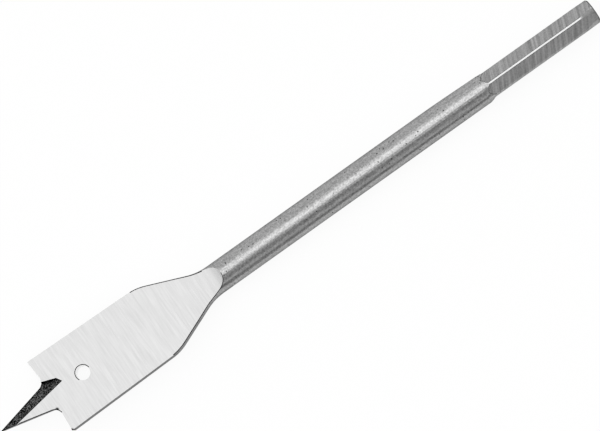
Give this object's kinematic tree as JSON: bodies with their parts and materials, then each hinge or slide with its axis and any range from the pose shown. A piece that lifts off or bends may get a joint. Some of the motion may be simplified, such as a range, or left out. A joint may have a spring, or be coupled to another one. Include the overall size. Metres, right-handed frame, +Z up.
{
  "type": "spade drill bit",
  "caption": "Flat spade drill bit with a long gashed point, slanted cutting lips, a pull hole in the blade, a round shaft and a hexagonal shank, for boring wood.",
  "frame": {"origin": "on the surface that the bit lies on, under the middle of its box", "axes": "+X along the bit from the point to the shank, +Y across the blade towards the edge that touches the surface, +Z up"},
  "size_m": [0.1756, 0.0202, 0.0076],
  "materials": {
    "ground_steel": "satin"
  },
  "bodies": {
    "root": {"spade_bit": "ground_steel"}
  },
  "joints": []
}
